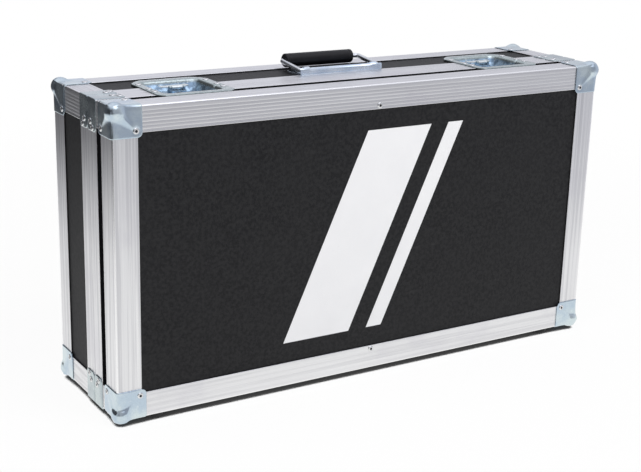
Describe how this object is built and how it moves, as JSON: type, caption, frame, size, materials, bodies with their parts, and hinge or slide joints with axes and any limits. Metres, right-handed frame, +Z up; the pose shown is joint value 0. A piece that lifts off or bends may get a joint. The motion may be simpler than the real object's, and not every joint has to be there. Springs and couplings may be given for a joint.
{
  "type": "pedalboard flight case",
  "caption": "Black laminated flight case edged in ribbed aluminium, with steel ball corners, recessed twist latches, a folding handle and a hinged lid.",
  "frame": {"origin": "centre of the bounding box's footprint, on the surface under the four feet", "axes": "+X to the right along the front of the case, +Y from the lid at the front to the base at the back, +Z up towards the handle"},
  "size_m": [0.69, 0.1798, 0.3852],
  "materials": {
    "aluminium": "clear anodised ribbed extrusion, satin",
    "laminate": "birch plywood faced with a black textured laminate, low sheen",
    "zinc": "pressed steel, zinc plated with a pale blue passivation",
    "steel": "bright zinc plated steel",
    "wire": "bright plated wire",
    "rubber": "moulded black rubber, matt",
    "foam": "closed cell foam, charcoal",
    "bands": "white screen print, satin"
  },
  "bodies": {
    "base": {"back_panel": "laminate", "base_top_wall": "laminate", "base_bottom_wall": "laminate", "base_left_wall": "laminate", "base_right_wall": "laminate", "rear_frame_top": "aluminium", "rear_frame_bottom": "aluminium", "rear_frame_left": "aluminium", "rear_frame_right": "aluminium", "base_closure_top": "aluminium", "base_closure_bottom": "aluminium", "base_closure_left": "aluminium", "base_closure_right": "aluminium", "base_edge_angles": "aluminium", "base_ball_corners": "zinc", "base_corner_braces": "zinc", "base_rivets": "steel", "base_feet": "rubber", "base_foam_pad": "foam", "base_foam_walls": "foam", "left_latch_dish": "zinc", "right_latch_dish": "zinc", "base_hinge_leaves": "steel", "hinge_pins": "steel", "handle_plate": "zinc"},
    "lid": {"lid_panel": "laminate", "lid_top_wall": "laminate", "lid_bottom_wall": "laminate", "lid_left_wall": "laminate", "lid_right_wall": "laminate", "lid_frame_top": "aluminium", "lid_frame_bottom": "aluminium", "lid_frame_left": "aluminium", "lid_frame_right": "aluminium", "lid_closure_top": "aluminium", "lid_closure_bottom": "aluminium", "lid_closure_left": "aluminium", "lid_closure_right": "aluminium", "lid_edge_angles": "aluminium", "lid_ball_corners": "zinc", "lid_corner_braces": "zinc", "lid_rivets": "steel", "lid_feet": "rubber", "lid_foam_pad": "foam", "lid_foam_walls": "foam", "left_keeper": "zinc", "right_keeper": "zinc", "lid_hinge_leaves": "steel", "front_bands": "bands"},
    "handle": {"handle_bail": "wire", "handle_grip": "rubber"},
    "left_rotor": {"left_latch_rotor": "zinc"},
    "left_wing": {"left_latch_wing": "steel"},
    "left_hook": {"left_latch_hook": "steel"},
    "right_rotor": {"right_latch_rotor": "zinc"},
    "right_wing": {"right_latch_wing": "steel"},
    "right_hook": {"right_latch_hook": "steel"}
  },
  "joints": [
    {"name": "lid_hinge", "type": "hinge", "parent": "base", "child": "lid", "pos_m": [0, -0.02, 0.0037], "axis": [1, 0, 0], "range_deg": [0, 105]},
    {"name": "handle_swing", "type": "hinge", "parent": "base", "child": "handle", "pos_m": [0, 0.006, 0.37166], "axis": [1, 0, 0], "range_deg": [0, 84]},
    {"name": "left_latch_twist", "type": "hinge", "parent": "base", "child": "left_rotor", "pos_m": [-0.2215, 0.005, 0.358], "axis": [0, 0, 1], "range_deg": [0, 180]},
    {"name": "left_wing_fold", "type": "hinge", "parent": "left_rotor", "child": "left_wing", "pos_m": [-0.2215, 0.005, 0.3641], "axis": [1, 0, 0], "range_deg": [0, 90]},
    {"name": "left_hook_draw", "type": "slide", "parent": "base", "child": "left_hook", "axis": [0, -1, 0], "range_m": [0, 0.01]},
    {"name": "right_latch_twist", "type": "hinge", "parent": "base", "child": "right_rotor", "pos_m": [0.2215, 0.005, 0.358], "axis": [0, 0, 1], "range_deg": [0, 180]},
    {"name": "right_wing_fold", "type": "hinge", "parent": "right_rotor", "child": "right_wing", "pos_m": [0.2215, 0.005, 0.3641], "axis": [1, 0, 0], "range_deg": [0, 90]},
    {"name": "right_hook_draw", "type": "slide", "parent": "base", "child": "right_hook", "axis": [0, -1, 0], "range_m": [0, 0.01]}
  ],
  "couplings": [
    {"joint": "left_hook_draw", "follows": "left_latch_twist", "m_per_rad": 0.00318},
    {"joint": "right_hook_draw", "follows": "right_latch_twist", "m_per_rad": 0.00318}
  ]
}
